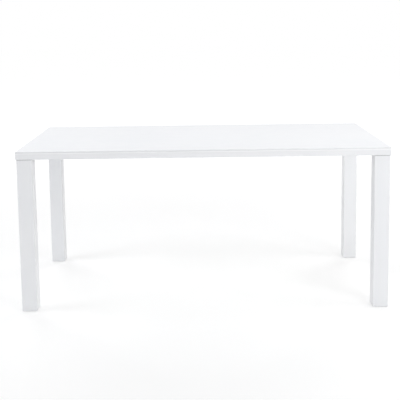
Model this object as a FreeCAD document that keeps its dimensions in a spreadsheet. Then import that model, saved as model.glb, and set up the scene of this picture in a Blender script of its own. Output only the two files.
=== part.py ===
import FreeCAD, Part
import math
import os
import types

import Sketcher

# White dining table: a flat hollow top on four square box legs with screw-in levelling glides.
# Frame: +X along the length, +Y from front to back, +Z up, origin on the floor under the middle.
# Lengths are in millimetres.

SIZES = (
    ("table_length", 1700.0, "top, left to right"),
    ("table_width", 850.0, "top, front to back"),
    ("table_height", 750.0, "floor to upper surface"),
    ("top_skin_thickness", 6.0, "lacquered sheet on the frame"),
    ("rail_height", 30.0, "edge rail, under the skin"),
    ("rail_width", 28.0, "edge rail, seen from below"),
    ("rebate_width", 10.0, "ledge in the rail for the underside panel"),
    ("underside_thickness", 4.0, "underside panel and mounting plates, level with each other"),
    ("panel_gap", 0.3, "fitting gap round the underside panel and the plates"),
    ("top_corner_radius", 2.0, "upright corners of the top"),
    ("top_arris", 1.2, "eased edges of the skin and the rails"),
    ("cross_rib_count", 5, "ribs from front to back"),
    ("long_rib_count", 2, "ribs from left to right"),
    ("rib_thickness", 18.0, "both kinds of rib"),
    ("rib_housing", 6.0, "depth of a rib's end in the rail"),
    ("rib_clearance", 0.1, "gap beside a rib in its housing or lap"),
    ("corner_block_margin", 30.0, "corner block past the mounting plate"),
    ("leg_size", 70.0, "side of the square leg"),
    ("leg_inset", 4.0, "leg's face behind the edge of the top"),
    ("leg_board_thickness", 14.0, "wall of the box leg"),
    ("leg_corner_radius", 2.0, "upright corners of the leg"),
    ("leg_arris", 1.5, "eased edges at the leg's two ends"),
    ("top_block_height", 70.0, "block in the leg's upper end"),
    ("foot_block_height", 50.0, "block in the leg's lower end"),
    ("plate_flange", 58.0, "mounting plate past the leg's inner faces"),
    ("plate_chamfer", 30.0, "cut-off inner corner of the plate"),
    ("plate_corner_radius", 4.0, "other corners of the plate"),
    ("fastener_clearance", 0.05, "gap round screws, stems and inserts"),
    ("screw_diameter", 5.0, "leg screw"),
    ("screw_head_diameter", 9.5, "countersunk head"),
    ("screw_rim", 0.4, "straight rim of the countersunk head"),
    ("screw_length", 45.0, "leg screw, over all"),
    ("screw_point", 6.0, "pointed end of the leg screw"),
    ("screw_edge", 8.0, "screw's axis to the sides of the top block"),
    ("bolt_diameter", 6.0, "plate bolt"),
    ("bolt_length", 16.0, "under the head"),
    ("bolt_head_diameter", 10.5, "round head"),
    ("bolt_head_height", 3.3, "round head"),
    ("bolt_head_round", 2.4, "rounding of the head's rim"),
    ("bolt_socket", 4.0, "hexagon socket, across its flats"),
    ("bolt_socket_depth", 2.0, "hexagon socket"),
    ("bolt_edge", 20.0, "bolt's axis to the plate's inner edges"),
    ("bolt_hole_diameter", 7.0, "clearance hole in the plate"),
    ("washer_diameter", 14.0, "plate washer"),
    ("washer_hole_diameter", 6.4, "plate washer"),
    ("washer_thickness", 1.6, "plate washer"),
    ("insert_diameter", 10.0, "threaded insert in the corner block"),
    ("insert_length", 13.0, "threaded insert in the corner block"),
    ("bolt_tip_room", 3.0, "drilled depth past the bolt's tip"),
    ("glide_gap", 5.0, "glide pad to the walls of the leg"),
    ("glide_reveal", 3.0, "leg's end above the floor"),
    ("glide_recess", 3.0, "foot block above the leg's end"),
    ("glide_edge", 1.0, "chamfers of the pad"),
    ("grip_count", 12, "finger scallops round the pad"),
    ("grip_radius", 3.0, "finger scallop"),
    ("grip_depth", 0.8, "finger scallop"),
    ("glide_travel", 10.0, "how far the glide screws out"),
    ("stem_diameter", 8.0, "glide stem"),
    ("stem_engagement", 16.0, "stem left in its insert when screwed out"),
    ("stem_seat", 4.0, "stem's lower end inside the pad"),
    ("stem_point", 1.0, "chamfer of the stem's upper end"),
    ("stem_room", 1.0, "gap round the stem above its insert"),
    ("glide_insert_diameter", 12.0, "threaded insert in the foot block"),
    ("glide_insert_length", 20.0, "threaded insert in the foot block"),
    ("glide_flange_diameter", 20.0, "flange of that insert"),
    ("glide_flange_thickness", 1.5, "flange of that insert"),
)

CORNERS = ("front_left", "front_right", "back_right", "back_left")
SIDES = ("front", "right", "back", "left")
QUARTER_TURNS = ((1, 0), (0, 1), (-1, 0), (0, -1))
MITRE_SHARE = 1 - math.sqrt(0.5)
FILLET_SHARE = 0.9
CUT_MARGIN = 1.0
CLOSE = 1e-4

Vector = FreeCAD.Vector
UP = Vector(0, 0, 1)


class Size:
    """A length that carries its sheet expression and its present value."""

    def __init__(self, text, number):
        self.text = text
        self.number = number

    def joined(self, sign, other, number):
        return Size(f"({self.text} {sign} {text_of(other)})", number)

    def __add__(self, other):
        return self.joined("+", other, self.number + number_of(other))

    def __sub__(self, other):
        return self.joined("-", other, self.number - number_of(other))

    def __mul__(self, other):
        return self.joined("*", other, self.number * number_of(other))

    def __truediv__(self, other):
        return self.joined("/", other, self.number / number_of(other))

    def __neg__(self):
        return self * -1


def text_of(length):
    return length.text if isinstance(length, Size) else f"({length!r})"


def number_of(length):
    return length.number if isinstance(length, Size) else length


def limited(radius, wall):
    """A rounding's radius, held under the radius or height of the wall that it runs along."""
    most = wall * FILLET_SHARE
    return Size(f"min({radius.text}; {most.text})", min(radius.number, most.number))


doc = FreeCAD.newDocument("dining_table")
sheet = doc.addObject("Spreadsheet::Sheet", "Sizes")
for row, (alias, number, note) in enumerate(SIZES, start=1):
    sheet.set(f"A{row}", note)
    sheet.set(f"B{row}", str(number))
    sheet.setAlias(f"B{row}", alias)
doc.recompute()

sizes = types.SimpleNamespace(**{alias: Size(f"Sizes.{alias}", number) for alias, number, note in SIZES})

# Levels, from the top down
CORE_TOP = sizes.table_height - sizes.top_skin_thickness
UNDERSIDE = CORE_TOP - sizes.rail_height
CORE_BOTTOM = UNDERSIDE + sizes.underside_thickness
CORE_HEIGHT = sizes.rail_height - sizes.underside_thickness
LEG_LENGTH = UNDERSIDE - sizes.glide_reveal
FOOT_BLOCK_BOTTOM = sizes.glide_reveal + sizes.glide_recess

# Eased edges, which turn the upright corners too
TOP_ARRIS = limited(sizes.top_arris, sizes.top_corner_radius)
LEG_ARRIS = limited(sizes.leg_arris, sizes.leg_corner_radius)

# Distances in from a corner of the top, the same along both edges
LEG_CENTRE = sizes.leg_inset + sizes.leg_size / 2
LEG_HOLLOW = sizes.leg_size - sizes.leg_board_thickness * 2
SCREW_SPACING = LEG_HOLLOW - sizes.screw_edge * 2
PLATE_START = sizes.rail_width - sizes.rebate_width + sizes.panel_gap
PLATE_END = sizes.leg_inset + sizes.leg_size + sizes.plate_flange
BOLT_FAR = PLATE_END - sizes.bolt_edge
BOLT_INNER = BOLT_FAR - sizes.plate_chamfer / 2
BOLT_SPOTS = ((BOLT_FAR, LEG_CENTRE), (LEG_CENTRE, BOLT_FAR), (BOLT_INNER, BOLT_INNER))

sub_parts = []


def origin_item(body, role):
    """One of a body's own origin planes or axes."""
    return next(item for item in body.Origin.OriginFeatures if item.Role == role)


def new_body(label):
    body = doc.addObject("PartDesign::Body", label)
    body.Label = label
    sub_parts.append(body)
    return body


def new_sketch(body, role="XY_Plane", lift=0):
    """An empty sketch on one of the body's origin planes, or lifted off it."""
    sketch = body.newObject("Sketcher::SketchObject", "Outline")
    sketch.AttachmentSupport = (origin_item(body, role), [""])
    sketch.MapMode = "FlatFace"
    sketch.setExpression("AttachmentOffset.Base.z", text_of(lift))
    return sketch


def bind(sketch, constraint, length):
    index = sketch.addConstraint(constraint)
    sketch.setExpression(f"Constraints[{index}]", text_of(length))


def pin(sketch, geometry, end, x, y):
    """Hold one point of a sketch at measured distances from the sketch's origin."""
    for kind, distance in (("DistanceX", x), ("DistanceY", y)):
        bind(sketch, Sketcher.Constraint(kind, -1, 1, geometry, end, number_of(distance)), distance)


def chain(sketch, curves):
    """Add curves that follow each other round a closed outline, and join their ends."""
    first = sketch.GeometryCount
    for curve in curves:
        sketch.addGeometry(curve, False)
    for step in range(len(curves)):
        before = first + (step - 1) % len(curves)
        sketch.addConstraint(Sketcher.Constraint("Coincident", before, 2, first + step, 1))
    return first


def polygon(sketch, corners):
    spots = [Vector(number_of(x), number_of(y), 0) for x, y in corners]
    first = chain(sketch, [Part.LineSegment(*ends) for ends in zip(spots, spots[1:] + spots[:1])])
    for step, (x, y) in enumerate(corners):
        pin(sketch, first + step, 1, x, y)


def rectangle(sketch, left, low, right, high):
    polygon(sketch, ((left, low), (right, low), (right, high), (left, high)))


def square(sketch, side):
    rectangle(sketch, -side / 2, -side / 2, side / 2, side / 2)


def circle(sketch, x, y, diameter):
    round_line = Part.Circle(Vector(number_of(x), number_of(y), 0), UP, diameter.number / 2)
    geometry = sketch.addGeometry(round_line, False)
    bind(sketch, Sketcher.Constraint("Diameter", geometry, diameter.number), diameter)
    pin(sketch, geometry, 3, x, y)


def mitred_outline(sketch, length, width, radius):
    """A board with its outer face on the X axis, 45 degree ends and half-rounded outer corners."""
    nip = radius * MITRE_SHARE
    corners = (
        (radius, 0),
        (length - radius, 0),
        (length - nip, nip),
        (length - width, width),
        (width, width),
        (nip, nip),
    )
    spots = [Vector(number_of(x), number_of(y), 0) for x, y in corners]

    def corner_arc(x, start):
        whole = Part.Circle(Vector(x.number, radius.number, 0), UP, radius.number)
        return Part.ArcOfCircle(whole, start, start + math.pi / 4)

    curves = [
        Part.LineSegment(spots[0], spots[1]),
        corner_arc(length - radius, -math.pi / 2),
        Part.LineSegment(spots[2], spots[3]),
        Part.LineSegment(spots[3], spots[4]),
        Part.LineSegment(spots[4], spots[5]),
        corner_arc(radius, -math.pi * 3 / 4),
    ]
    first = chain(sketch, curves)
    for step, (x, y) in enumerate(corners):
        pin(sketch, first + step, 1, x, y)
    for arc in (first + 1, first + 5):
        bind(sketch, Sketcher.Constraint("Radius", arc, radius.number), radius)


def pad(body, sketch, length, downward=False):
    feature = body.newObject("PartDesign::Pad", "Pad")
    feature.Profile = sketch
    feature.Reversed = downward
    feature.setExpression("Length", length.text)
    doc.recompute()
    return feature


def pocket(body, sketch, depth=None, upward=False):
    """Cut an outline into the body, right through where no depth is given."""
    volume = body.Shape.Volume
    feature = body.newObject("PartDesign::Pocket", "Pocket")
    feature.Profile = sketch
    feature.Reversed = upward
    if depth is None:
        feature.Type = "ThroughAll"
    else:
        feature.setExpression("Length", depth.text)
    doc.recompute()
    if body.Shape.Volume > volume - CLOSE:
        raise RuntimeError(f"a cut in {body.Label} removed nothing")
    return feature


def revolve(body, profile, x=0, y=0):
    """Turn a closed (radius, height) profile about an upright axis through x, y."""
    sketch = new_sketch(body, "XZ_Plane", lift=-y)
    sketch.setExpression("AttachmentOffset.Base.x", text_of(x))
    polygon(sketch, profile)
    feature = body.newObject("PartDesign::Revolution", "Revolution")
    feature.Profile = sketch
    feature.ReferenceAxis = (sketch, ["V_Axis"])
    feature.Angle = 360
    doc.recompute()
    return feature


def fillet(body, feature, radius, wanted):
    """Round the feature's edges that the wanted test picks by their boxes."""
    names = [f"Edge{n}" for n, edge in enumerate(feature.Shape.Edges, 1) if wanted(edge.BoundBox)]
    rounding = body.newObject("PartDesign::Fillet", "Fillet")
    rounding.Base = (feature, names)
    rounding.setExpression("Radius", radius.text)
    doc.recompute()
    return rounding


def is_upright(box):
    return box.ZLength > CLOSE and box.XLength < CLOSE and box.YLength < CLOSE


def is_level(box):
    return box.ZLength < CLOSE


def outer_arrises(corner_radius):
    """A test for the end edges of a mitred board's outer face, rounded corners and all."""
    return lambda box: is_level(box) and box.YMax < corner_radius.number


def repeat_at_corners(body, spacing=None):
    """Repeat what stands at the front left corner at all four, first as a square where it has a spacing."""
    copies = body.newObject("PartDesign::MultiTransform", "Corners")
    copies.TransformMode = "Whole shape"
    steps = []
    for axis in ("X_Axis", "Y_Axis") if spacing else ():
        row = body.newObject("PartDesign::LinearPattern", "Row")
        row.Direction = (origin_item(body, axis), [""])
        row.setExpression("Length", spacing.text)
        row.Occurrences = 2
        steps.append(row)
    for role in ("YZ_Plane", "XZ_Plane"):
        mirror = body.newObject("PartDesign::Mirrored", "Mirror")
        mirror.MirrorPlane = (origin_item(body, role), [""])
        steps.append(mirror)
    copies.Transformations = steps
    body.Tip = copies
    doc.recompute()


def lift_to(body, level):
    body.setExpression("Placement.Base.z", text_of(level))


def place(body, quarter, x, y, level, turn=0):
    """Stand a body at x, y from a corner of the top, turned with that corner."""
    cosine, sine = QUARTER_TURNS[quarter]
    body.Placement = FreeCAD.Placement(Vector(), FreeCAD.Rotation(UP, 90 * (quarter + turn)))
    across = sizes.table_length / 2 * (sine - cosine) + x * cosine - y * sine
    along = sizes.table_width / 2 * (-cosine - sine) + x * sine + y * cosine
    body.setExpression("Placement.Base.x", across.text)
    body.setExpression("Placement.Base.y", along.text)
    lift_to(body, level)


def from_corner(x, y):
    """A front left corner place, in the table's own frame."""
    return x - sizes.table_length / 2, y - sizes.table_width / 2


def rib_spots(length, count):
    """Rib centres along a rail, evenly shared over the room between the two end rails."""
    room = length - sizes.rail_width * 2
    return [sizes.rail_width + room * (step + 1) / (count + 1) for step in range(count)]


CROSS_RIB_SPOTS = rib_spots(sizes.table_length, sizes.cross_rib_count.number)
LONG_RIB_SPOTS = rib_spots(sizes.table_width, sizes.long_rib_count.number)


def top_skin():
    body = new_body("top_skin")
    outline = new_sketch(body)
    half_length = sizes.table_length / 2
    half_width = sizes.table_width / 2
    rectangle(outline, -half_length, -half_width, half_length, half_width)
    sheet_pad = pad(body, outline, sizes.top_skin_thickness)
    corners = fillet(body, sheet_pad, sizes.top_corner_radius, is_upright)
    fillet(body, corners, TOP_ARRIS, is_level)
    lift_to(body, CORE_TOP)


def edge_rail(quarter, length, spots):
    """A mitred rail with a ledge for the underside panel and housings for the ribs' ends."""
    body = new_body(f"{SIDES[quarter]}_edge_rail")
    outline = new_sketch(body)
    mitred_outline(outline, length, sizes.rail_width, sizes.top_corner_radius)
    rail = pad(body, outline, sizes.rail_height)
    fillet(body, rail, TOP_ARRIS, outer_arrises(sizes.top_corner_radius))
    past_inner_face = sizes.rail_width + CUT_MARGIN
    ledge_back = sizes.rail_width - sizes.rebate_width
    ledge = new_sketch(body)
    rectangle(ledge, -CUT_MARGIN, ledge_back, length + CUT_MARGIN, past_inner_face)
    pocket(body, ledge, sizes.underside_thickness, upward=True)
    housing_back = sizes.rail_width - sizes.rib_housing
    half_slot = sizes.rib_thickness / 2 + sizes.rib_clearance
    housings = new_sketch(body)
    for spot in spots:
        rectangle(housings, spot - half_slot, housing_back, spot + half_slot, past_inner_face)
    pocket(body, housings, upward=True)
    place(body, quarter, 0, 0, UNDERSIDE)


def rib(label, length, crossings, lapped_from_top):
    """A core rib along X with half laps where the other ribs cross it."""
    body = new_body(label)
    outline = new_sketch(body)
    inset = sizes.rail_width - sizes.rib_housing + sizes.rib_clearance
    half_thickness = sizes.rib_thickness / 2
    rectangle(outline, inset, -half_thickness, length - inset, half_thickness)
    pad(body, outline, CORE_HEIGHT)
    laps = new_sketch(body, lift=CORE_HEIGHT if lapped_from_top else 0)
    half_slot = half_thickness + sizes.rib_clearance
    reach = half_thickness + CUT_MARGIN
    for spot in crossings:
        rectangle(laps, spot - half_slot, -reach, spot + half_slot, reach)
    pocket(body, laps, CORE_HEIGHT / 2, upward=not lapped_from_top)
    return body


def ribs():
    for number, spot in enumerate(CROSS_RIB_SPOTS, start=1):
        body = rib(f"cross_rib_{number}", sizes.table_width, LONG_RIB_SPOTS, lapped_from_top=True)
        place(body, 0, spot, 0, CORE_BOTTOM, turn=1)
    for number, spot in enumerate(LONG_RIB_SPOTS, start=1):
        body = rib(f"long_rib_{number}", sizes.table_length, CROSS_RIB_SPOTS, lapped_from_top=False)
        place(body, 0, 0, spot, CORE_BOTTOM)


def underside_panel():
    """The sheet that closes the top from below, notched round the mounting plates."""
    body = new_body("underside_panel")
    outline = new_sketch(body)
    far_x = sizes.table_length / 2 - PLATE_START
    far_y = sizes.table_width / 2 - PLATE_START
    notch = PLATE_END + sizes.panel_gap - PLATE_START
    bevel = notch - sizes.plate_chamfer
    steps = ((0, notch), (bevel, notch), (notch, bevel), (notch, 0))
    corners = []
    for quarter, (sign_x, sign_y) in enumerate(((-1, -1), (1, -1), (1, 1), (-1, 1))):
        around = steps if quarter % 2 == 0 else reversed(steps)
        corners += [((far_x - step_x) * sign_x, (far_y - step_y) * sign_y) for step_x, step_y in around]
    polygon(outline, corners)
    pad(body, outline, sizes.underside_thickness)
    lift_to(body, UNDERSIDE)


def corner_block(quarter):
    body = new_body(f"{CORNERS[quarter]}_corner_block")
    outline = new_sketch(body)
    end = PLATE_END + sizes.corner_block_margin
    rectangle(outline, sizes.rail_width, sizes.rail_width, end, end)
    pad(body, outline, CORE_HEIGHT)
    bolt_reach = sizes.bolt_length - sizes.washer_thickness - sizes.underside_thickness
    bores = (
        (sizes.bolt_hole_diameter, bolt_reach + sizes.bolt_tip_room),
        (sizes.insert_diameter + sizes.fastener_clearance * 2, sizes.insert_length),
    )
    for diameter, depth in bores:
        holes = new_sketch(body)
        for x, y in BOLT_SPOTS:
            circle(holes, x, y, diameter)
        pocket(body, holes, depth, upward=True)
    place(body, quarter, 0, 0, CORE_BOTTOM)


def leg_boards(quarter):
    """The four mitred walls of one hollow leg, named by the side that each one faces."""
    start = sizes.leg_inset
    end = sizes.leg_inset + sizes.leg_size
    for turn, (x, y) in enumerate(((start, start), (end, start), (end, end), (start, end))):
        side = SIDES[(quarter + turn) % len(SIDES)]
        body = new_body(f"{CORNERS[quarter]}_leg_{side}_board")
        outline = new_sketch(body)
        mitred_outline(outline, sizes.leg_size, sizes.leg_board_thickness, sizes.leg_corner_radius)
        board = pad(body, outline, LEG_LENGTH)
        fillet(body, board, LEG_ARRIS, outer_arrises(sizes.leg_corner_radius))
        place(body, quarter, x, y, sizes.glide_reveal, turn)


def screw_spots():
    """The four leg screws, about the leg's own centre."""
    half = SCREW_SPACING / 2
    return ((-half, -half), (half, -half), (half, half), (-half, half))


def leg_top_block(quarter):
    body = new_body(f"{CORNERS[quarter]}_leg_top_block")
    outline = new_sketch(body)
    square(outline, LEG_HOLLOW)
    pad(body, outline, sizes.top_block_height)
    holes = new_sketch(body, lift=sizes.top_block_height)
    for x, y in screw_spots():
        circle(holes, x, y, sizes.screw_diameter + sizes.fastener_clearance * 2)
    pocket(body, holes, sizes.screw_length - sizes.underside_thickness)
    place(body, quarter, LEG_CENTRE, LEG_CENTRE, UNDERSIDE - sizes.top_block_height)


def leg_foot_block(quarter):
    """The lower block, bored in steps for the stem, its insert and the insert's flange."""
    body = new_body(f"{CORNERS[quarter]}_leg_foot_block")
    outline = new_sketch(body)
    square(outline, LEG_HOLLOW)
    pad(body, outline, sizes.foot_block_height)
    bores = (
        (sizes.stem_diameter + sizes.stem_room * 2, None),
        (sizes.glide_insert_diameter + sizes.fastener_clearance * 2, sizes.glide_insert_length),
        (sizes.glide_flange_diameter + sizes.fastener_clearance * 2, sizes.glide_flange_thickness),
    )
    for diameter, depth in bores:
        bore = new_sketch(body)
        circle(bore, 0, 0, diameter)
        pocket(body, bore, depth, upward=True)
    place(body, quarter, LEG_CENTRE, LEG_CENTRE, FOOT_BLOCK_BOTTOM)


def mounting_plate(quarter):
    """A steel plate screwed on the leg's end and bolted to the corner block beside the leg."""
    body = new_body(f"{CORNERS[quarter]}_mounting_plate")
    outline = new_sketch(body)
    bevel = PLATE_END - sizes.plate_chamfer
    polygon(outline, (
        (PLATE_START, PLATE_START),
        (PLATE_END, PLATE_START),
        (PLATE_END, bevel),
        (bevel, PLATE_END),
        (PLATE_START, PLATE_END),
    ))
    plate = pad(body, outline, sizes.underside_thickness)
    fillet(body, plate, sizes.plate_corner_radius, is_upright)
    bolt_holes = new_sketch(body)
    for x, y in BOLT_SPOTS:
        circle(bolt_holes, x, y, sizes.bolt_hole_diameter)
    pocket(body, bolt_holes, upward=True)
    screw_holes = new_sketch(body, lift=sizes.underside_thickness)
    hole_diameter = sizes.screw_diameter + sizes.fastener_clearance * 2
    head_diameter = sizes.screw_head_diameter + sizes.fastener_clearance * 2
    for x, y in screw_spots():
        circle(screw_holes, LEG_CENTRE + x, LEG_CENTRE + y, hole_diameter)
    doc.recompute()
    volume = body.Shape.Volume
    countersunk = body.newObject("PartDesign::Hole", "Hole")
    countersunk.Profile = screw_holes
    countersunk.DepthType = "ThroughAll"
    countersunk.HoleCutType = "Counterdrill"
    countersunk.setExpression("Diameter", hole_diameter.text)
    countersunk.setExpression("HoleCutDiameter", head_diameter.text)
    countersunk.setExpression("HoleCutDepth", (sizes.screw_rim + sizes.fastener_clearance).text)
    countersunk.HoleCutCountersinkAngle = 90
    doc.recompute()
    if body.Shape.Volume > volume - CLOSE:
        raise RuntimeError(f"the countersunk holes in {body.Label} removed nothing")
    place(body, quarter, 0, 0, UNDERSIDE)


def leg_screws():
    """Countersunk wood screws down through the plates into the legs' top blocks."""
    body = new_body("leg_screws")
    head = sizes.screw_head_diameter / 2
    shank = sizes.screw_diameter / 2
    neck = sizes.screw_rim + head - shank
    profile = (
        (0, CORE_BOTTOM - sizes.screw_length),
        (shank, CORE_BOTTOM - sizes.screw_length + sizes.screw_point),
        (shank, CORE_BOTTOM - neck),
        (head, CORE_BOTTOM - sizes.screw_rim),
        (head, CORE_BOTTOM),
        (0, CORE_BOTTOM),
    )
    offset_x, offset_y = screw_spots()[0]
    revolve(body, profile, *from_corner(LEG_CENTRE + offset_x, LEG_CENTRE + offset_y))
    repeat_at_corners(body, SCREW_SPACING)


def plate_bolts():
    """Round-headed bolts up through the plates' free corners into the threaded inserts."""
    body = new_body("plate_bolts")
    seat = UNDERSIDE - sizes.washer_thickness
    heads = new_sketch(body, lift=seat)
    shanks = new_sketch(body, lift=seat)
    sockets = new_sketch(body, lift=seat - sizes.bolt_head_height)
    half_flat = sizes.bolt_socket / 2
    half_side = half_flat / math.sqrt(3)
    for spot in BOLT_SPOTS:
        x, y = from_corner(*spot)
        circle(heads, x, y, sizes.bolt_head_diameter)
        circle(shanks, x, y, sizes.bolt_diameter)
        polygon(sockets, (
            (x + half_side, y - half_flat),
            (x + half_side * 2, y),
            (x + half_side, y + half_flat),
            (x - half_side, y + half_flat),
            (x - half_side * 2, y),
            (x - half_side, y - half_flat),
        ))
    head = pad(body, heads, sizes.bolt_head_height, downward=True)
    rim = (seat - sizes.bolt_head_height).number + CLOSE
    fillet(body, head, limited(sizes.bolt_head_round, sizes.bolt_head_height),
           lambda box: is_level(box) and box.ZMax < rim)
    pad(body, shanks, sizes.bolt_length)
    pocket(body, sockets, sizes.bolt_socket_depth, upward=True)
    repeat_at_corners(body)


def rings(label, spots, level, outer, inner, length):
    """Plain rings of one size, at each of the spots of every corner."""
    body = new_body(label)
    outline = new_sketch(body, lift=level)
    for spot in spots:
        x, y = from_corner(*spot)
        circle(outline, x, y, outer)
        circle(outline, x, y, inner)
    pad(body, outline, length)
    return body


def plate_hardware():
    washers = rings("plate_washers", BOLT_SPOTS, UNDERSIDE - sizes.washer_thickness,
                    sizes.washer_diameter, sizes.washer_hole_diameter, sizes.washer_thickness)
    repeat_at_corners(washers)
    thread = sizes.bolt_diameter + sizes.fastener_clearance * 2
    inserts = rings("plate_inserts", BOLT_SPOTS, CORE_BOTTOM,
                    sizes.insert_diameter, thread, sizes.insert_length)
    repeat_at_corners(inserts)


def glide_inserts():
    """Flanged threaded inserts in the foot blocks, which the glides' stems screw into."""
    spot = (LEG_CENTRE, LEG_CENTRE)
    bore = sizes.stem_diameter + sizes.fastener_clearance * 2
    body = rings("glide_inserts", (spot,), FOOT_BLOCK_BOTTOM, sizes.glide_insert_diameter, bore,
                 sizes.glide_insert_length)
    flange = new_sketch(body, lift=FOOT_BLOCK_BOTTOM)
    x, y = from_corner(*spot)
    circle(flange, x, y, sizes.glide_flange_diameter)
    circle(flange, x, y, bore)
    pad(body, flange, sizes.glide_flange_thickness)
    repeat_at_corners(body)


def glide_pad(quarter):
    """The plastic foot, with a socket for its stem and finger scallops round its rim."""
    body = new_body(f"{CORNERS[quarter]}_glide_pad")
    rim = LEG_HOLLOW / 2 - sizes.glide_gap
    thickness = FOOT_BLOCK_BOTTOM
    socket = sizes.stem_diameter / 2 + sizes.fastener_clearance
    socket_floor = thickness - sizes.stem_seat
    revolve(body, (
        (0, 0),
        (rim - sizes.glide_edge, 0),
        (rim, sizes.glide_edge),
        (rim, thickness - sizes.glide_edge),
        (rim - sizes.glide_edge, thickness),
        (socket, thickness),
        (socket, socket_floor),
        (0, socket_floor),
    ))
    scallop = new_sketch(body)
    circle(scallop, rim - sizes.grip_depth + sizes.grip_radius, 0, sizes.grip_radius * 2)
    cut = pocket(body, scallop, upward=True)
    grips = body.newObject("PartDesign::PolarPattern", "Grips")
    grips.Originals = [cut]
    grips.Axis = (origin_item(body, "Z_Axis"), [""])
    grips.Angle = 360
    grips.setExpression("Occurrences", sizes.grip_count.text)
    body.Tip = grips
    doc.recompute()
    place(body, quarter, LEG_CENTRE, LEG_CENTRE, 0)


def glide_stem(quarter):
    """The steel stem, long enough to stay in its insert at the end of the glide's travel."""
    body = new_body(f"{CORNERS[quarter]}_glide_stem")
    radius = sizes.stem_diameter / 2
    low = FOOT_BLOCK_BOTTOM - sizes.stem_seat
    high = FOOT_BLOCK_BOTTOM + sizes.stem_engagement + sizes.glide_travel
    revolve(body, (
        (0, low),
        (radius, low),
        (radius, high - sizes.stem_point),
        (radius - sizes.stem_point, high),
        (0, high),
    ))
    place(body, quarter, LEG_CENTRE, LEG_CENTRE, 0)


top_skin()
underside_panel()
ribs()
leg_screws()
plate_bolts()
plate_hardware()
glide_inserts()
for quarter in range(len(CORNERS)):
    is_long = quarter % 2 == 0
    edge_rail(quarter, sizes.table_length if is_long else sizes.table_width,
              CROSS_RIB_SPOTS if is_long else LONG_RIB_SPOTS)
    corner_block(quarter)
    leg_boards(quarter)
    leg_top_block(quarter)
    leg_foot_block(quarter)
    mounting_plate(quarter)
    glide_pad(quarter)
    glide_stem(quarter)
doc.recompute()

for item in doc.Objects:
    if "Invalid" in item.State or "Error" in item.State:
        raise RuntimeError(f"{item.Name} failed: {item.State}")
for body in sub_parts:
    if body.Shape.isNull() or not body.Shape.isValid():
        raise RuntimeError(f"{body.Label} has no valid shape")

os.makedirs("parts", exist_ok=True)
for body in sub_parts:
    body.Shape.exportStep(f"parts/{body.Label}.step")
print(len(sub_parts), "sub-parts written")
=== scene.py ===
import math

import bmesh
import bpy
from bpy.props import FloatProperty, FloatVectorProperty, IntProperty, PointerProperty
from mathutils import Euler, Matrix, Vector


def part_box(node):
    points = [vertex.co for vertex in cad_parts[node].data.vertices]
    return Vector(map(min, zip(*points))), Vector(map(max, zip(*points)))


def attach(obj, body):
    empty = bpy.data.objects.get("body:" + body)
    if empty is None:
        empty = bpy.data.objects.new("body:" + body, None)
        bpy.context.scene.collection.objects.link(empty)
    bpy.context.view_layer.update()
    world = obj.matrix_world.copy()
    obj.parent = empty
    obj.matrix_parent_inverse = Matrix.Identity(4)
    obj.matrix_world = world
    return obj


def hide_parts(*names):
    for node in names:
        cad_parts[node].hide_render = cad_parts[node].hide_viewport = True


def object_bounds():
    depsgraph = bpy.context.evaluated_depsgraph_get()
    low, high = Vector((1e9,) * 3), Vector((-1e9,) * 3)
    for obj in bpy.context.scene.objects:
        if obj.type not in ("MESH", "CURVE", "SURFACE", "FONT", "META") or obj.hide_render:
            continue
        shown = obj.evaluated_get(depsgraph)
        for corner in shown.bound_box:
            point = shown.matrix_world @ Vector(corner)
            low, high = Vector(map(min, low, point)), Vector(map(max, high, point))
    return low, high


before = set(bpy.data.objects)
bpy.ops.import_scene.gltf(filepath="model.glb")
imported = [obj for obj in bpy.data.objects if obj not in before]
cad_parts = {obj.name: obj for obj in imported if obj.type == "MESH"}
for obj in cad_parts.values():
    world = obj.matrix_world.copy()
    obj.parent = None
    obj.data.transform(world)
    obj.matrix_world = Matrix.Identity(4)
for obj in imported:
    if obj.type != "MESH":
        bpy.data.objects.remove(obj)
CAD_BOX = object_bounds()

bl_info = {
    "name": "White Dining Table",
    "version": (1, 0, 0),
    "blender": (4, 5, 0),
    "location": "View3D > Sidebar > Table",
    "description": "Finishes, fittings and studio of a white lacquered dining table",
    "category": "Object",
}

CORNERS = ("front_left", "front_right", "back_right", "back_left")
SIDES = ("front", "right", "back", "left")
TOP_PIECES = ["top_skin"] + [f"{side}_edge_rail" for side in SIDES]
LEG_BOARDS = [f"{corner}_leg_{side}_board" for corner in CORNERS for side in SIDES]
RIBS = [name for name in sorted(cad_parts) if "_rib_" in name]
BLOCKS = [f"{corner}_{block}_block" for corner in CORNERS for block in ("corner", "leg_top", "leg_foot")]
PLATES = [f"{corner}_mounting_plate" for corner in CORNERS] + ["plate_washers"]

SMOOTH_ANGLE = math.radians(35)
GOLDEN_ANGLE = math.radians(137.5)
WELD = 1e-6

# Wider than any bolt, screw or plate insert, and than a glide insert's flange.
FASTENER_REACH = 0.02
FLANGE_REACH = 0.03

# Depths of threads: two as shares of their pitch, and the wood screws' as a share of their radius.
METRIC_DEPTH = 0.61
INSERT_DEPTH = 0.34
SCREW_DEPTH = 0.36

# How far a cutting tool reaches past what it cuts, and how far a cropping outline stands off the crests.
OVERSHOOT = 0.001
CREST_MARGIN = 1.05

# How deep one fused form sinks into the next.
SINK = 0.0004


def middle_of(node):
    """The middle of a node's box."""
    low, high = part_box(node)
    return (low + high) / 2


def solids_of(node, reach):
    """The lowest and highest corners of each upright fastener of a node.

    A corner belongs to the first fastener whose first corner lies within the reach of it, seen from above.
    """
    groups = []
    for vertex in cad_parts[node].data.vertices:
        for group in groups:
            if (group[0] - vertex.co).xy.length < reach:
                group.append(vertex.co)
                break
        else:
            groups.append([vertex.co])
    return [(Vector(map(min, *group)), Vector(map(max, *group))) for group in groups]


def middles(solids):
    """The middle of each pair of lowest and highest corners."""
    return [(low + high) / 2 for low, high in solids]


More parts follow.
